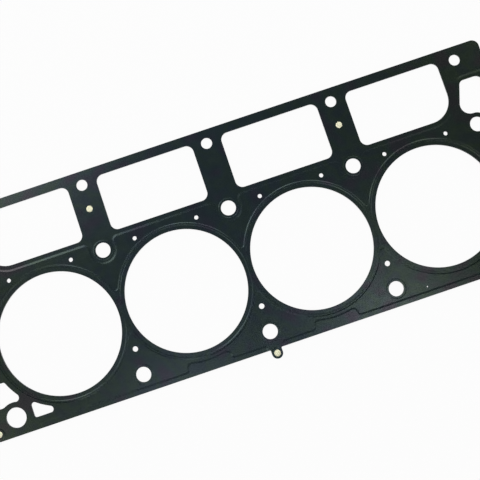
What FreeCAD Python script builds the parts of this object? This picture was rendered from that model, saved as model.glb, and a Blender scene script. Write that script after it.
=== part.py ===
import FreeCAD, Part
import math
import os

# Cylinder head gasket for one bank of four bores, made of layers of steel sheet that are
# riveted together. Two thin beaded sheets lie on either side of a flat spacer.
# X runs along the row of bores, Y from the plain edge to the pushrod side, Z up through
# the layers. The origin is on the line of bore centres, midway along it, at the level of
# the lowest bead crests, on which the gasket lies. All sizes are in millimetres.

os.makedirs("parts", exist_ok=True)

# Sheets
beaded_sheet = 0.25
spacer_sheet = 0.8

# Bores
bore_radius = 52.07
bore_web = 7.62
bore_count = 4

# Full bead round each bore
bead_rim = 3.0
bead_slope = 1.2
bead_crest = 0.6
bead_height = 0.25
bead_tip_radius = 2.5
bead_web_bend = 20.0

# Stepped seal line between the coolant field and the pushrod side
seal_lift = 11.4
seal_step = 0.2
seal_slope = 2.2
seal_bolt_radius = 11.0
seal_fillet = 4.5
seal_opening_wall = 3.4

# Raised strips along the plain edge
strip_width = 4.4
strip_step = 0.2
strip_slope = 1.8
strip_corner = 2.4
strip_middle_gap = 7.0
strip_end_inset = 36.5
jog_bead_gap = 2.5
jog_half_width = 19.0
jog_corner = 4.0

# Bolt and dowel holes
head_bolt_radius = 6.4
head_bolt_lift = 2.86
collar_land = 1.5
collar_slope = 0.8
collar_step = 0.12
rail_bolt_radius = 4.75
rail_bolt_inset = 11.7
dowel_radius = 8.5

# Small coolant holes
steam_radius = 1.8
steam_lift = 3.9
steam_half_spacing = 27.5
web_hole_radius = 2.3
web_hole_drop = 32.6
pin_hole_radius = 0.6
pin_hole_inset = 8.35
pin_hole_offset = 25.4

# Pushrod openings
window_gap = 4.25
window_height = 49.05
window_corner = 6.3
window_large_corner = 19.8
ladder_bar_half = 12.7
end_bar_half = 15.5

# Outer edge
rail_width = 8.15
plain_margin = 17.88
end_margin = 24.0
outer_corner = 6.2

# Coolant opening over the bolt at each end
end_rim = 6.3
upper_bolt_wall = 3.55
upper_reach = 8.9
upper_height = 39.8
upper_shoulder = 5.3
upper_foot_corner = 8.6
upper_inner_corner = 5.0
upper_outer_corner = 7.0
upper_heel_corner = 6.0

# Coolant opening over the dowel at each end
lower_bore_wall = 9.63
lower_dowel_wall = 4.55
lower_height = 31.03
lower_tip_corner = 3.4
lower_top_corner = 2.0
lower_outer_corner = 8.0

# Small coolant opening beside the dowel
teardrop_bore_wall = 8.38
teardrop_dowel_wall = 6.27
teardrop_floor = 9.95
teardrop_top_corner = 2.6
teardrop_tip_corner = 2.8
teardrop_heel_corner = 1.8

# Rivets, and the flat seats that the beaded sheets have under their heads
rivet_shank_radius = 1.6
rivet_head_radius = 2.75
rivet_head_height = 0.3
rivet_clearance = 0.05
rivet_seat_land = 1.4
rivet_seat_slope = 1.0
bar_rivet_drop = 21.25
tab_radius = 4.7
tab_reach = 3.85
tab_neck_radius = 0.8

# Places worked out from the sizes
bore_pitch = 2 * bore_radius + bore_web
bore_places = [(i - (bore_count - 1) / 2) * bore_pitch for i in range(bore_count)]
bar_places = [(i - bore_count / 2) * bore_pitch for i in range(bore_count + 1)]
inner_bars = bar_places[1:-1]
end_bar = bar_places[-1]
end_bore = bore_places[-1]
head_bolt_row = bore_radius + head_bolt_lift
seal_row = bore_radius + seal_lift
window_floor = seal_row + window_gap
window_top = window_floor + window_height
rail_edge = window_top + rail_width
plain_edge = -(bore_radius + plain_margin)
end_edge = end_bar + end_margin
rail_bolt_row = rail_edge - rail_bolt_inset
strip_row = plain_edge + strip_width
tab_row = plain_edge - tab_reach
corner_rivet = (end_edge - outer_corner, plain_edge + outer_corner)
bead_inner_foot = bore_radius + bead_rim
bead_outer_foot = bead_inner_foot + 2 * bead_slope + bead_crest

# Levels of the layers
beaded_depth = seal_step + max(bead_height, strip_step) + beaded_sheet
spacer_floor = beaded_depth
spacer_top = spacer_floor + spacer_sheet

# Room past the edges and faces for the solids that cut or are cut
overrun = 12.0

# What counts as two circles touching, and as no line between them
TOUCHING = 1e-12
NO_LENGTH = 1e-6


def point(x, y, z):
    return FreeCAD.Vector(x, y, z)


def belt(stations, z=0.0, grow=0.0):
    """Closed wire round circles (x, y, bend), joined by tangents and offset outwards by grow.

    A bend is the radius of a left turn, or less than zero for a right turn."""
    circles = [(x, y, bend + grow) for x, y, bend in stations]
    leaving = []
    arriving = []
    for (x1, y1, bend1), (x2, y2, bend2) in zip(circles, circles[1:] + circles[:1]):
        lean = (bend2 - bend1) / math.hypot(x2 - x1, y2 - y1)
        if abs(lean) > 1 - TOUCHING:
            lean = math.copysign(1.0, lean)
        angle = math.atan2(y2 - y1, x2 - x1) + math.acos(lean)
        nx, ny = math.cos(angle), math.sin(angle)
        leaving.append((x1 - bend1 * nx, y1 - bend1 * ny))
        arriving.append((x2 - bend2 * nx, y2 - bend2 * ny))
    edges = []
    for i, (x, y, bend) in enumerate(circles):
        start = arriving[i - 1]
        end = leaving[i]
        after = arriving[i]
        turn = math.copysign(1.0, bend)
        first = math.atan2(start[1] - y, start[0] - x)
        last = math.atan2(end[1] - y, end[0] - x)
        middle = first + turn * ((turn * (last - first)) % (2 * math.pi)) / 2
        radius = abs(bend)
        mid = point(x + radius * math.cos(middle), y + radius * math.sin(middle), z)
        edges.append(Part.Arc(point(*start, z), mid, point(*end, z)).toShape())
        if math.hypot(after[0] - end[0], after[1] - end[1]) > NO_LENGTH:
            edges.append(Part.LineSegment(point(*end, z), point(*after, z)).toShape())
    return Part.Wire(edges)


def corner_stations(x0, y0, x1, y1, corners):
    """Stations of a rectangle, anticlockwise from its lower left corner, with a radius for each corner."""
    low_left, low_right, high_right, high_left = corners
    return [
        (x0 + low_left, y0 + low_left, low_left),
        (x1 - low_right, y0 + low_right, low_right),
        (x1 - high_right, y1 - high_right, high_right),
        (x0 + high_left, y1 - high_left, high_left),
    ]


def mirrored(stations):
    """The same closed line on the other side of the Y axis."""
    return [(-x, y, bend) for x, y, bend in reversed(stations)]


def where_circles_meet(x1, y1, r1, x2, y2, r2):
    """Where two circles cross, to the left of the line from the first centre to the second."""
    dx, dy = x2 - x1, y2 - y1
    apart = math.hypot(dx, dy)
    along = (r1 * r1 - r2 * r2 + apart * apart) / (2 * apart)
    off = leg(r1, along)
    return x1 + (along * dx - off * dy) / apart, y1 + (along * dy + off * dx) / apart


def leg(long_side, short_side):
    """The other leg of a right triangle."""
    return math.sqrt(long_side * long_side - short_side * short_side)


def plateau(stations, floor, height, slope):
    """Raised field with sloping sides, whose foot and crest run half a slope either side of the line.

    A slope less than zero leans the sides outwards, for a hollow to cut from another field."""
    foot = belt(stations, floor, slope / 2)
    crest = belt(stations, floor + height, -slope / 2)
    return Part.makeLoft([foot, crest], True, True)


def pit(x, y, foot_radius, floor, height, slope):
    """Cone that widens upwards, to be cut from a plateau."""
    return Part.makeCone(foot_radius, foot_radius + slope, height, point(x, y, floor))


def outline():
    """Outer edge, with the rivet tab in the middle of the plain edge."""
    corners = corner_stations(-end_edge, plain_edge, end_edge, rail_edge, [outer_corner] * 4)
    neck = (tab_radius + tab_neck_radius, plain_edge - tab_neck_radius, -tab_neck_radius)
    tab = (0.0, tab_row, tab_radius)
    return corners[:1] + mirrored([neck]) + [tab, neck] + corners[1:]


def pushrod_windows():
    """The four large openings; the outer ones have a large corner beside the coolant opening."""
    small = window_corner
    inner = corner_stations(
        ladder_bar_half, window_floor, bore_pitch - ladder_bar_half, window_top, [small] * 4
    )
    outer = corner_stations(
        inner_bars[-1] + ladder_bar_half,
        window_floor,
        end_bar - end_bar_half,
        window_top,
        [small, window_large_corner, small, small],
    )
    return [inner, outer, mirrored(inner), mirrored(outer)]


def shoulder():
    """Inner upper corner of the coolant opening over the end bolt, which the seal line runs round."""
    x = end_bar - upper_reach + upper_shoulder + upper_inner_corner
    return x, head_bolt_row + upper_height - upper_inner_corner, upper_inner_corner


def upper_opening():
    """Coolant opening over the end bolt; its lower side runs round the bolt hole."""
    bolt_reach = head_bolt_radius + upper_bolt_wall
    right = end_edge - end_rim
    top = head_bolt_row + upper_height
    foot_x = end_bar - upper_reach + upper_foot_corner
    foot_y = head_bolt_row + leg(bolt_reach + upper_foot_corner, foot_x - end_bar)
    heel_x = right - upper_heel_corner
    heel_y = head_bolt_row + leg(bolt_reach + upper_heel_corner, heel_x - end_bar)
    return [
        (end_bar, head_bolt_row, -bolt_reach),
        (heel_x, heel_y, upper_heel_corner),
        (right - upper_outer_corner, top - upper_outer_corner, upper_outer_corner),
        shoulder(),
        (foot_x, foot_y, upper_foot_corner),
    ]


def lower_opening():
    """Coolant opening between the end bore and the dowel hole, right-hand end."""
    bore_reach = bore_radius + lower_bore_wall
    dowel_reach = dowel_radius + lower_dowel_wall
    right = end_edge - end_rim
    tip_x, tip_y = where_circles_meet(
        end_bore,
        0.0,
        bore_reach + lower_tip_corner,
        end_bar,
        -head_bolt_row,
        dowel_reach + lower_tip_corner,
    )
    top = lower_height - head_bolt_row
    top_y = top - lower_top_corner
    top_x = end_bore + leg(bore_reach + lower_top_corner, top_y)
    heel_x = right - lower_outer_corner
    heel_y = leg(dowel_reach + lower_outer_corner, heel_x - end_bar) - head_bolt_row
    return [
        (tip_x, tip_y, lower_tip_corner),
        (end_bar, -head_bolt_row, -dowel_reach),
        (heel_x, heel_y, lower_outer_corner),
        (heel_x, top - lower_outer_corner, lower_outer_corner),
        (top_x, top_y, lower_top_corner),
        (end_bore, 0.0, -bore_reach),
    ]


def teardrop():
    """Small coolant opening between the end bore, the dowel hole and the plain edge, right-hand end."""
    bore_reach = bore_radius + teardrop_bore_wall
    right = end_bar - dowel_radius - teardrop_dowel_wall
    floor = plain_edge + teardrop_floor
    top_x = right - teardrop_top_corner
    top_y = -leg(bore_reach + teardrop_top_corner, top_x - end_bore)
    tip_y = floor + teardrop_tip_corner
    tip_x = end_bore + leg(bore_reach + teardrop_tip_corner, tip_y)
    heel_x = right - teardrop_heel_corner
    heel_y = floor + teardrop_heel_corner
    return [
        (tip_x, tip_y, teardrop_tip_corner),
        (heel_x, heel_y, teardrop_heel_corner),
        (top_x, top_y, teardrop_top_corner),
        (end_bore, 0.0, -bore_reach),
    ]


def round_holes():
    """Every round hole as (x, y, radius), the rivet holes last."""
    holes = [(x, 0.0, bore_radius) for x in bore_places]
    holes += [(x, head_bolt_row, head_bolt_radius) for x in bar_places]
    holes += [(x, -head_bolt_row, head_bolt_radius) for x in inner_bars]
    holes += [(x, -head_bolt_row, dowel_radius) for x in (-end_bar, end_bar)]
    holes += [(x, rail_bolt_row, rail_bolt_radius) for x in bar_places]
    for x in bore_places:
        for side in (-1, 1):
            holes.append((x + side * steam_half_spacing, bore_radius + steam_lift, steam_radius))
    holes += [(x, -web_hole_drop, web_hole_radius) for x in inner_bars]
    holes.append((inner_bars[-1] + pin_hole_offset, plain_edge + pin_hole_inset, pin_hole_radius))
    holes += [(x, y, rivet_shank_radius + rivet_clearance) for x, y in rivet_places()]
    return holes


def rivet_places():
    """Two rivets in the ladder bars, one in each plain corner and one on the tab."""
    bar_row = rail_bolt_row - bar_rivet_drop
    places = [(inner_bars[0], bar_row), (inner_bars[-1], bar_row), (0.0, tab_row)]
    places += [(side * corner_rivet[0], corner_rivet[1]) for side in (-1, 1)]
    return places


def plan_blank(floor, height):
    """Blank with every hole and opening, as one prism."""
    side_openings = [upper_opening(), lower_opening(), teardrop()]
    openings = pushrod_windows() + side_openings + [mirrored(o) for o in side_openings]
    wires = [belt(stations, floor) for stations in openings]
    for x, y, radius in round_holes():
        circle = Part.Circle(point(x, y, floor), point(0, 0, 1), radius)
        wires.append(Part.Wire([circle.toShape()]))
    face = Part.Face([belt(outline(), floor)] + wires, "Part::FaceMakerBullseye")
    return face.extrude(point(0, 0, height))


def coolant_field():
    """Field that is pressed up round the bores, from past the plain edge to the stepped seal line."""
    far_x = end_edge + overrun
    far_y = plain_edge - tab_reach - overrun
    shoulder_x, shoulder_y, shoulder_bend = shoulder()
    shoulder_reach = shoulder_bend + seal_opening_wall
    top_y = shoulder_y + shoulder_reach
    window_corner_x = end_bar - end_bar_half - window_large_corner
    window_corner_y = window_floor + window_large_corner
    right_side = [
        (far_x, far_y, seal_slope),
        (far_x, top_y - seal_slope, seal_slope),
        (shoulder_x, shoulder_y, shoulder_reach),
        (window_corner_x, window_corner_y, -window_large_corner - window_gap),
    ]
    fillet_y = seal_row - seal_fillet
    fillet_x = leg(seal_bolt_radius + seal_fillet, fillet_y - head_bolt_row)
    notches = []
    for x in reversed(inner_bars):
        notches.append((x + fillet_x, fillet_y, seal_fillet))
        notches.append((x, head_bolt_row, -seal_bolt_radius))
        notches.append((x - fillet_x, fillet_y, seal_fillet))
    return right_side + notches + mirrored(right_side)


def edge_strip():
    """Raised strip along the right half of the plain edge; its jog runs beside the inner bore's bead."""
    near_x = strip_middle_gap
    far_x = end_bar - strip_end_inset + jog_half_width
    low_y = plain_edge - overrun
    bore = bore_places[bore_count // 2]
    reach = bead_outer_foot + jog_bead_gap
    jog_right = bore + jog_half_width
    jog_left = bore - jog_half_width
    corner_y = -leg(reach + jog_corner, jog_half_width - jog_corner)
    corners = corner_stations(near_x, low_y, far_x, strip_row, [strip_corner] * 4)
    jog = [
        (jog_right + strip_corner, strip_row + strip_corner, -strip_corner),
        (jog_right - jog_corner, corner_y, jog_corner),
        (bore, 0.0, -reach),
        (jog_left + jog_corner, corner_y, jog_corner),
        (jog_left - strip_corner, strip_row + strip_corner, -strip_corner),
    ]
    return corners[:3] + jog + corners[3:]


def bead_bowl(index):
    """Inside of the bead round a bore; beside a web it runs straight, and two beads share one crest."""
    x = bore_places[index]
    bend = bead_web_bend
    round_reach = bead_inner_foot + bead_slope / 2
    straight_reach = (bore_pitch - bead_crest - bead_slope) / 2
    bend_x = straight_reach - bend
    bend_y = leg(round_reach - bend, bend_x)
    around = (x, 0.0, round_reach)
    right = [(x + bend_x, -bend_y, bend), (x + bend_x, bend_y, bend)]
    left = [(x - bend_x, bend_y, bend), (x - bend_x, -bend_y, bend)]
    if index == 0:
        return [around] + right
    if index == bore_count - 1:
        return [around] + left
    return [around] + right + [around] + left


def bead_ridges(floor):
    """Full beads round the bores, which run together in the webs between them."""
    outer = bead_outer_foot - bead_slope / 2
    tip_y = leg(outer + bead_tip_radius, bore_pitch / 2)
    stations = []
    for i, x in enumerate(bore_places):
        stations.append((x, 0.0, outer))
        if i < bore_count - 1:
            stations.append((x + bore_pitch / 2, -tip_y, -bead_tip_radius))
    for i, x in enumerate(reversed(bore_places)):
        if i > 0:
            stations.append((x + bore_pitch / 2, tip_y, -bead_tip_radius))
            if i < bore_count - 1:
                stations.append((x, 0.0, outer))
    ridge = plateau(stations, floor, bead_height, bead_slope)
    bowls = [plateau(bead_bowl(i), floor, bead_height, -bead_slope) for i in range(bore_count)]
    return ridge.cut(Part.makeCompound(bowls))


def pressing():
    """Everything under a beaded sheet, as if it lay on a die: the sheet's underside follows its top."""
    low_y = plain_edge - tab_reach - 2 * overrun
    width = 2 * (end_edge + 2 * overrun)
    depth = rail_edge + 2 * overrun - low_y
    bed = Part.makeBox(width, depth, overrun, point(-width / 2, low_y, -overrun))
    field = plateau(coolant_field(), 0.0, seal_step, seal_slope)
    strip = plateau(edge_strip(), seal_step, strip_step, strip_slope)
    other_strip = plateau(mirrored(edge_strip()), seal_step, strip_step, strip_slope)
    crest = head_bolt_radius + collar_land
    centres = [point(x, -head_bolt_row, seal_step) for x in inner_bars]
    centres += [point(x, head_bolt_row, 0) for x in inner_bars]
    collars = [Part.makeCone(crest + collar_slope, crest, collar_step, centre) for centre in centres]
    seat = rivet_head_radius + rivet_seat_land
    seats = [pit(x, y, seat, 0.0, seal_step, rivet_seat_slope) for x, y in rivet_places() if y < 0]
    raised = field.cut(Part.makeCompound(seats))
    raised = raised.fuse([strip, other_strip, bead_ridges(seal_step)] + collars)
    return bed.fuse(raised)


def beaded_layer():
    """Thin sheet pressed with beads and steps, its flat side at level zero and its beads upwards."""
    die = pressing()
    lifted = die.translated(point(0, 0, beaded_sheet))
    blank = plan_blank(-beaded_sheet, 2 * beaded_depth)
    return blank.common(lifted).cut(die)


def rivet(x, y):
    """Round-headed rivet through the layers, closed with the same head on the other side."""
    low = spacer_floor - beaded_sheet
    high = spacer_top + beaded_sheet
    half = rivet_head_height / 2
    profile = [
        point(0, 0, low - rivet_head_height),
        point(rivet_head_radius - half, 0, low - rivet_head_height),
        point(rivet_head_radius, 0, low - half),
        point(rivet_head_radius, 0, low),
        point(rivet_shank_radius, 0, low),
        point(rivet_shank_radius, 0, high),
        point(rivet_head_radius, 0, high),
        point(rivet_head_radius, 0, high + half),
        point(rivet_head_radius - half, 0, high + rivet_head_height),
        point(0, 0, high + rivet_head_height),
    ]
    face = Part.Face(Part.makePolygon(profile + profile[:1]))
    solid = face.revolve(point(0, 0, 0), point(0, 0, 1), 360)
    return solid.translated(point(x, y, 0))


def save(name, shape):
    shape.exportStep("parts/" + name + ".step")


upper_layer = beaded_layer().translated(point(0, 0, spacer_top))
lower_layer = beaded_layer().mirror(point(0, 0, 0), point(0, 0, 1))
lower_layer = lower_layer.translated(point(0, 0, spacer_floor))

save("upper_beaded_layer", upper_layer)
save("centre_spacer", plan_blank(spacer_floor, spacer_sheet))
save("lower_beaded_layer", lower_layer)
save("rivets", Part.makeCompound([rivet(x, y) for x, y in rivet_places()]))
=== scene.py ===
from math import cos, hypot, pi, radians, sin, tan

import bmesh
import bpy
from mathutils import Matrix, Vector


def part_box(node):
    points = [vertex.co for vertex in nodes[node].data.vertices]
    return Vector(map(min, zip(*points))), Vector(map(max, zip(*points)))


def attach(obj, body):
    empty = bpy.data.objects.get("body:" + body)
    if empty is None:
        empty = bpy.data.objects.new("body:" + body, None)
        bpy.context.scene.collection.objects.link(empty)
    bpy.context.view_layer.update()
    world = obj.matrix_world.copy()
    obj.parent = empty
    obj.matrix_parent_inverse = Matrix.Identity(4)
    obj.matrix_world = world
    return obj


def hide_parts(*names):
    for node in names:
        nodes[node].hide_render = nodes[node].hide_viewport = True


# Cylinder head gasket: two thin beaded steel sheets with a near-black rubber coat, one on
# either side of a bare steel spacer, held together by five small rivets. It lies flat on a
# white table. Lengths are in millimetres until MM turns them into the scene's metres.

MM = 0.001

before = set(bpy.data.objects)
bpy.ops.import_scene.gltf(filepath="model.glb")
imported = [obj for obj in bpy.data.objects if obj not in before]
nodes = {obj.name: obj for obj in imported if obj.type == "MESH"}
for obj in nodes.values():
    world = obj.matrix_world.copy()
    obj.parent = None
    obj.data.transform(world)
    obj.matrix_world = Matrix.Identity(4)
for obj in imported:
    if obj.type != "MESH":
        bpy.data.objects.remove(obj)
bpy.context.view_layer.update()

# Bores, and the circles round each one: its edge, then the four folds of its full bead
BORE_PITCH = 111.76
BORE_RADIUS = 52.07
BORE_CENTRES = tuple(step * BORE_PITCH for step in (-1.5, -0.5, 0.5, 1.5))
BORE_CIRCLES = tuple(BORE_RADIUS + out for out in (0.0, 3.0, 4.2, 4.8, 6.0))

# Finer arcs: extra points in each CAD step, how near a circle the step's ends lie, and how far
# off it the new points may be before they are moved onto it
ARC_CUTS = 3
ON_CIRCLE = 0.02
NEAR_CIRCLE = 0.15

# Loose corners nearer than MERGE are one corner, and faces less than FLAT out of line are one
# face. Faces turned by more than LEAST_FOLD meet in a fold, and by more than SHARP in a sharp
# edge. An edge is level if its ends differ by less than SAME_LEVEL in height.
MERGE = 0.002
FLAT = radians(0.3)
LEAST_FOLD = radians(2.0)
SHARP = radians(35.0)
SAME_LEVEL = 0.0001

# How much a face looks up or down: flats and slopes more than LYING, sheared edges less than
# STANDING
LYING = 0.9
STANDING = 0.5

# A pressed slope is steepest at its middle, so its top and foot are drawn together by this share
# of the slope's width each. Then its folds are rounded, if the slope is wider than FOLD_ROOM.
DRAWN_IN = 0.14
FOLD_WIDTH = 0.12
FOLD_STEPS = 2
FOLD_ROOM = 0.4

# Rivets: on two ladder bars, on the tab and in the plain corners. The crown goes from the middle
# of the head to under its rim, as radius and drop below the top.
RIVET_PLACES = (
    (-BORE_PITCH, 91.97), (BORE_PITCH, 91.97), (0.0, -73.8), (-241.32, -63.75), (241.32, -63.75))
RIVET_CROWN = (
    (0.0, 0.05), (0.5, 0.04), (0.9, 0.01), (1.3, 0.0), (1.8, 0.02), (2.3, 0.07), (2.6, 0.14),
    (2.72, 0.21), (2.74, 0.26), (2.72, 0.3), (1.6, 0.3))
RIVET_STEPS = 40

# Camera: nearly straight above, so that the gasket runs out of the picture on both sides
CAMERA_PLACE = Vector((-8.39, -17.41, 675.52))
CAMERA_AIM = Vector((0.57, 25.95, 1.95))
CAMERA_TURN = radians(-18.71)
CAMERA_LENS = 60.0
CAMERA_SENSOR = 36.0

# Stage, in metres: how far off the softboxes are, and how far the table reaches on each side of
# the middle. The camera sees TABLE_GLOW of the table as plain white, and the rest as it is lit.
LIGHT_DISTANCE = 2.2
TABLE_REACH = 3.0
TABLE_GLOW = 0.93

# Light tent: brightness of the patch overhead, the dark cloth and the pale rim, and the angles
# from straight overhead, in degrees, between which each one fades into the next
PATCH_LEVEL = 0.35
CLOTH_LEVEL = 0.05
RIM_LEVEL = 1.3
PATCH_END = 24.0
CLOTH_START = 44.0
CLOTH_END = 62.0
RIM_START = 78.0

# The mix node's two colour inputs and its colour output
MIX_FIRST, MIX_SECOND, MIX_RESULT = 6, 7, 2


def linear(code):
    """Blender's linear colour for an sRGB hex code."""
    parts = [int(code[i:i + 2], 16) / 255 for i in (1, 3, 5)]
    return tuple(p / 12.92 if p <= 0.04045 else ((p + 0.055) / 1.055) ** 2.4 for p in parts) + (1.0,)


def add(tree, kind, inputs=(), stops=(), out=0, **settings):
    """Adds a node with its settings and gives back its output out, a name or a number. Inputs gives
    each socket a value, or the socket that feeds it; stops are a colour ramp's places and colours."""
    node = tree.nodes.new(kind)
    for name, value in settings.items():
        setattr(node, name, value)
    for socket, value in dict(inputs).items():
        if isinstance(value, bpy.types.NodeSocket):
            tree.links.new(value, node.inputs[socket])
        else:
            node.inputs[socket].default_value = value
    for number, (place, code) in enumerate(stops):
        if number < 2:
            stop = node.color_ramp.elements[number]
            stop.position = place
        else:
            stop = node.color_ramp.elements.new(place)
        stop.color = linear(code)
    return node.outputs[out] if node.outputs else None


def new_material(name):
    """An empty material, and its node tree."""
    material = bpy.data.materials.new(name)
    material.use_nodes = True
    material.node_tree.nodes.clear()
    return material, material.node_tree


def rubber_coat():
    """Nitrile rubber coat, sprayed thinly on the sheet and baked. It is nearly black with a satin
    sheen, and where it dried a little thicker the sheen leans to blue, green or violet. Towards both
    ends its colour and sheen go greyer, with a trace of olive."""
    material, tree = new_material("nitrile_rubber_coat")
    place = add(tree, "ShaderNodeTexCoord", out="Object")
    # tints in patches of about 20 mm, and clouds of about 6 mm in the sheen
    tints = add(tree, "ShaderNodeTexNoise", {"Vector": place, "Scale": 55.0, "Detail": 1.0})
    clouds = add(tree, "ShaderNodeTexNoise", {"Vector": place, "Scale": 160.0, "Detail": 2.0})
    # the spray's grain is about 0.05 mm across, drawn at 0.5 mm so that it shows
    grain = add(tree, "ShaderNodeTexNoise", {"Vector": place, "Scale": 2000.0, "Detail": 2.0})
    colour = add(tree, "ShaderNodeValToRGB", {"Fac": tints}, stops=[
        (0.3, "#07161e"), (0.7, "#0a151f"), (0.42, "#081819"), (0.55, "#07171d")])
    sheen = add(tree, "ShaderNodeValToRGB", {"Fac": tints}, stops=[
        (0.32, "#d8f0ff"), (0.68, "#eae6ff"), (0.43, "#e0fff6"), (0.54, "#daf6ff")])
    # the length of the gasket runs from -0.25 m to 0.25 m, and the ramp from one end to the other
    along = add(tree, "ShaderNodeSeparateXYZ", {"Vector": place}, out="X")
    length = add(tree, "ShaderNodeMapRange", {"Value": along, "From Min": -0.25, "From Max": 0.25})
    # towards both ends the colour and the sheen are multiplied greyer, with a trace of olive
    ends = add(tree, "ShaderNodeValToRGB", {"Fac": length}, stops=[
        (0.0, "#fff6d4"), (0.92, "#fff6d8"), (0.3, "#ffffff"), (0.55, "#ffffff")])
    colour, sheen = (
        add(tree, "ShaderNodeMix", {"Factor": 1.0, MIX_FIRST: plain, MIX_SECOND: ends}, out=MIX_RESULT,
            data_type="RGBA", blend_type="MULTIPLY")
        for plain in (colour, sheen))
    gloss = add(tree, "ShaderNodeMapRange", {
        "Value": clouds, "From Min": 0.3, "From Max": 0.7, "To Min": 0.23, "To Max": 0.27})
    bump = add(tree, "ShaderNodeBump", {"Height": grain, "Strength": 0.05, "Distance": 0.0001})
    skin = add(tree, "ShaderNodeBsdfPrincipled", {
        "Base Color": colour, "Specular Tint": sheen, "Roughness": gloss, "IOR": 1.5, "Normal": bump})
    add(tree, "ShaderNodeOutputMaterial", {"Surface": skin})
    return material


def rolled_steel(name, dark, light, roughness):
    """Cold-rolled stainless strip: plain grey metal with fine lines along the rolling direction."""
    material, tree = new_material(name)
    place = add(tree, "ShaderNodeTexCoord", out="Object")
    # rolling lines run along X, drawn 0.4 mm apart
    along = add(tree, "ShaderNodeMapping", {"Vector": place, "Scale": (60.0, 2500.0, 2500.0)})
    lines = add(tree, "ShaderNodeTexNoise", {"Vector": along, "Scale": 1.0, "Detail": 3.0})
    colour = add(tree, "ShaderNodeValToRGB", {"Fac": lines}, stops=[(0.3, dark), (0.7, light)])
    bump = add(tree, "ShaderNodeBump", {"Height": lines, "Strength": 0.1, "Distance": 0.0001})
    metal = add(tree, "ShaderNodeBsdfPrincipled", {
        "Base Color": colour, "Metallic": 1.0, "Roughness": roughness, "Normal": bump})
    add(tree, "ShaderNodeOutputMaterial", {"Surface": metal})
    return material


def pale_brass():
    """Pale brass, cold headed and tumbled: a soft bright shine with faint marks."""
    material, tree = new_material("tumbled_brass")
    place = add(tree, "ShaderNodeTexCoord", out="Object")
    # tumbling marks about 0.8 mm across
    marks = add(tree, "ShaderNodeTexNoise", {"Vector": place, "Scale": 1200.0, "Detail": 3.0})
    colour = add(tree, "ShaderNodeValToRGB", {"Fac": marks}, stops=[(0.3, "#fcfad8"), (0.7, "#fffee8")])
    bump = add(tree, "ShaderNodeBump", {"Height": marks, "Strength": 0.15, "Distance": 0.0002})
    metal = add(tree, "ShaderNodeBsdfPrincipled", {
        "Base Color": colour, "Metallic": 1.0, "Roughness": 0.62, "Normal": bump})
    add(tree, "ShaderNodeOutputMaterial", {"Surface": metal})
    return material


def finish_piece(name, shape, materials, node):
    """Turns a bmesh into a piece of the gasket that stands for a CAD node."""
    for face in shape.faces:
        face.smooth = True
    for edge in shape.edges:
        if len(edge.link_faces) == 2:
            edge.smooth = edge.calc_face_angle() < SHARP
    mesh = bpy.data.meshes.new(name)
    shape.to_mesh(mesh)
    shape.free()
    for material in materials:
        mesh.materials.append(material)
    piece = bpy.data.objects.new(name, mesh)
    bpy.context.scene.collection.objects.link(piece)
    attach(piece, "root")
    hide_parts(node)
    weighted = piece.modifiers.new("flats_stay_flat", "WEIGHTED_NORMAL")
    weighted.keep_sharp = True
    return piece


def level(edge):
    """Whether both ends of an edge lie at one height."""
    start, end = edge.verts
    return abs(start.co.z - end.co.z) < SAME_LEVEL * MM


def circle_through(verts, slack):
    """The bore centre and radius of the circle on which all these vertices lie, or None."""
    for x in BORE_CENTRES:
        for radius in BORE_CIRCLES:
            if all(abs(hypot(v.co.x - x * MM, v.co.y) - radius * MM) < slack * MM for v in verts):
                return x * MM, radius * MM
    return None


def sheet_from(node):
    """A CAD sheet as one closed mesh, with more steps round its bores and beads."""
    sheet = bmesh.new()
    sheet.from_mesh(nodes[node].data)
    bmesh.ops.remove_doubles(sheet, verts=sheet.verts, dist=MERGE * MM)
    bmesh.ops.dissolve_limit(
        sheet, angle_limit=FLAT, verts=sheet.verts, edges=sheet.edges, delimit={"NORMAL"})
    arcs = [edge for edge in sheet.edges if level(edge) and circle_through(edge.verts, ON_CIRCLE)]
    cut = bmesh.ops.subdivide_edges(
        sheet, edges=arcs, cuts=ARC_CUTS, use_only_quads=True, use_grid_fill=True)
    for vert in cut["geom_inner"]:
        circle = isinstance(vert, bmesh.types.BMVert) and circle_through([vert], NEAR_CIRCLE)
        if circle:
            x, radius = circle
            stretch = radius / hypot(vert.co.x - x, vert.co.y)
            vert.co.x, vert.co.y = x + (vert.co.x - x) * stretch, vert.co.y * stretch
    return sheet


def run_of(face):
    """The level step from the top to the foot of a slope, or None if the face is no slope."""
    across = Vector((face.normal.x, face.normal.y, 0.0))
    if abs(face.normal.z) < LYING or across.length < sin(LEAST_FOLD):
        return None
    heights = [vert.co.z for vert in face.verts]
    return across * face.normal.z * (max(heights) - min(heights)) / across.length_squared


def steepen_slopes(sheet):
    """Draws the top and foot of every slope together, but leaves the cut edges where they are."""
    moves = []
    for vert in sheet.verts:
        if any(abs(face.normal.z) < STANDING for face in vert.link_faces):
            continue
        slopes = [face for face in vert.link_faces if run_of(face)]
        for face in slopes:
            heights = [other.co.z for other in face.verts]
            place = (vert.co.z - min(heights)) / (max(heights) - min(heights))
            moves.append((vert, (2 * place - 1) * DRAWN_IN * run_of(face) / len(slopes)))
    for vert, move in moves:
        vert.co += move


def is_fold(edge):
    """Whether an edge is a fold that leaves room for its round on the slope beside it."""
    runs = [run_of(face) for face in edge.link_faces]
    return (
        level(edge) and all(abs(face.normal.z) > LYING for face in edge.link_faces)
        and edge.calc_face_angle(0.0) > LEAST_FOLD
        and all(run is None or run.length > FOLD_ROOM * MM for run in runs))


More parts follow.
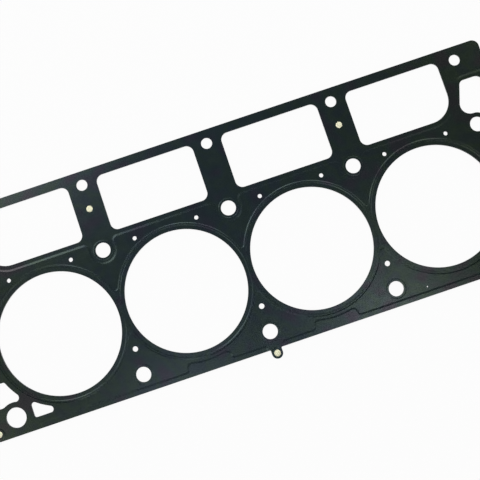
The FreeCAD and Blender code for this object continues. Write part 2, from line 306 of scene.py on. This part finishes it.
def beaded_sheet(name, node, coat, edge_steel):
    """A pressed sheet: coated on its faces, rounded at every fold, bare steel where it was sheared."""
    sheet = sheet_from(node)
    steepen_slopes(sheet)
    sheet.normal_update()
    folds = [edge for edge in sheet.edges if is_fold(edge)]
    bmesh.ops.bevel(
        sheet, geom=folds, offset=FOLD_WIDTH * MM, offset_type="OFFSET", affect="EDGES",
        segments=FOLD_STEPS, profile=0.5, material=-1, clamp_overlap=False)
    for face in sheet.faces:
        face.material_index = int(abs(face.normal.z) < STANDING)
    finish_piece(name, sheet, [coat, edge_steel], node)


def rivet_set(brass):
    """Five rivets, each a spun profile: a low crowned head with a round rim on either side."""
    low, high = (corner.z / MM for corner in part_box("rivets"))
    profile = [(r, high - drop) for r, drop in RIVET_CROWN]
    profile += [(r, low + drop) for r, drop in reversed(RIVET_CROWN)]
    rivets = bmesh.new()
    for x, y in RIVET_PLACES:
        verts = [rivets.verts.new(Vector((x + r, y, z)) * MM) for r, z in profile]
        edges = [rivets.edges.new(pair) for pair in zip(verts, verts[1:])]
        bmesh.ops.spin(
            rivets, geom=verts + edges, cent=Vector((x, y, 0.0)) * MM, axis=(0, 0, 1),
            angle=radians(360), steps=RIVET_STEPS, use_merge=True)
    bmesh.ops.remove_doubles(rivets, verts=rivets.verts, dist=MERGE * MM)
    bmesh.ops.recalc_face_normals(rivets, faces=rivets.faces)
    finish_piece("brass_rivets", rivets, [brass], "rivets")


def table():
    """White table top. The camera sees it lit to white, and it keeps the gasket's faint shadow."""
    material, tree = new_material("white_table_top")
    plain = add(tree, "ShaderNodeBsdfDiffuse", {"Color": linear("#fafafa")})
    glow = add(tree, "ShaderNodeEmission", {"Strength": 1.0})
    seen = add(tree, "ShaderNodeLightPath", out="Is Camera Ray")
    share = add(tree, "ShaderNodeMath", {0: seen, 1: TABLE_GLOW}, operation="MULTIPLY")
    both = add(tree, "ShaderNodeMixShader", {0: share, 1: plain, 2: glow})
    add(tree, "ShaderNodeOutputMaterial", {"Surface": both})
    top = bmesh.new()
    bmesh.ops.create_grid(top, x_segments=1, y_segments=1, size=TABLE_REACH)
    mesh = bpy.data.meshes.new("table_top")
    top.to_mesh(mesh)
    top.free()
    mesh.materials.append(material)
    piece = bpy.data.objects.new("table_top", mesh)
    bpy.context.scene.collection.objects.link(piece)


def softbox(name, right, up, spread, brightness):
    """Square soft light. Right and up are its angles from straight overhead, in degrees, towards the
    right and the top of the camera's picture, and spread is its width in degrees. A brightness of 1
    is that of a white surface."""
    toward = Matrix.Rotation(CAMERA_TURN, 3, "Z") @ Vector((tan(radians(right)), tan(radians(up)), 1.0))
    width = 2 * LIGHT_DISTANCE * tan(radians(spread / 2))
    light = bpy.data.lights.new(name, "AREA")
    light.shape = "SQUARE"
    light.size = width
    light.energy = brightness * pi * width * width
    lamp = bpy.data.objects.new(name, light)
    bpy.context.scene.collection.objects.link(lamp)
    lamp.location = toward.normalized() * LIGHT_DISTANCE
    lamp.rotation_euler = toward.to_track_quat("Z", "Y").to_euler()


def surround():
    """Tent over the table: a grey patch overhead where the camera looks in, dark cloth round it for
    the softboxes, and a pale rim low down."""
    world = bpy.data.worlds.new("light_tent")
    world.use_nodes = True
    tree = world.node_tree
    tree.nodes.clear()
    ray = add(tree, "ShaderNodeTexCoord", out="Generated")
    height = add(tree, "ShaderNodeSeparateXYZ", {"Vector": ray}, out="Z")
    patch = add(tree, "ShaderNodeMapRange", {
        "Value": height, "From Min": cos(radians(CLOTH_START)), "From Max": cos(radians(PATCH_END)),
        "To Min": CLOTH_LEVEL, "To Max": PATCH_LEVEL}, interpolation_type="SMOOTHSTEP")
    rim = add(tree, "ShaderNodeMapRange", {
        "Value": height, "From Min": cos(radians(RIM_START)), "From Max": cos(radians(CLOTH_END)),
        "To Min": RIM_LEVEL, "To Max": 0.0}, interpolation_type="SMOOTHSTEP")
    strength = add(tree, "ShaderNodeMath", {0: patch, 1: rim}, operation="ADD")
    tent = add(tree, "ShaderNodeBackground", {"Strength": strength})
    add(tree, "ShaderNodeOutputWorld", {"Surface": tent})
    bpy.context.scene.world = world


def camera():
    """Camera at the photo's place, with its right side turned from +X by CAMERA_TURN."""
    lens = bpy.data.cameras.new("camera")
    lens.lens = CAMERA_LENS
    lens.sensor_width = CAMERA_SENSOR
    view = (CAMERA_AIM - CAMERA_PLACE).normalized()
    side = Vector((cos(CAMERA_TURN), sin(CAMERA_TURN), 0.0))
    right = (side - side.dot(view) * view).normalized()
    turn = Matrix((right, right.cross(view), -view)).transposed().to_4x4()
    holder = bpy.data.objects.new("camera", lens)
    bpy.context.scene.collection.objects.link(holder)
    holder.matrix_world = Matrix.Translation(CAMERA_PLACE * MM) @ turn
    bpy.context.scene.camera = holder


coat = rubber_coat()
edge_steel = rolled_steel("sheared_stainless_edge", "#6f7274", "#93979a", 0.4)
beaded_sheet("upper_sheet", "upper_beaded_layer", coat, edge_steel)
beaded_sheet("lower_sheet", "lower_beaded_layer", coat, edge_steel)
spacer_steel = rolled_steel("cold_rolled_spacer_steel", "#85898b", "#a9adaf", 0.35)
finish_piece("spacer_sheet", sheet_from("centre_spacer"), [spacer_steel], "centre_spacer")
rivet_set(pale_brass())
table()
surround()
softbox("left_softbox", -25.0, 17.0, 14.0, 5.2)
softbox("far_left_softbox", -38.0, 0.0, 14.0, 3.0)
softbox("low_left_softbox", -26.0, -19.0, 13.0, 2.0)
softbox("near_softbox", -4.0, -15.0, 12.0, 3.4)
softbox("bottom_softbox", -2.0, -38.0, 10.0, 3.5)
softbox("small_softbox", 14.0, -4.0, 9.0, 5.2)
softbox("right_softbox", 44.0, 8.0, 16.0, 1.7)
softbox("far_right_softbox", 36.0, 32.0, 14.0, 2.4)
softbox("top_left_softbox", -13.0, 38.0, 15.0, 4.2)
softbox("top_right_softbox", 14.0, 40.0, 16.0, 3.0)
camera()
bpy.context.scene.view_settings.view_transform = "Standard"
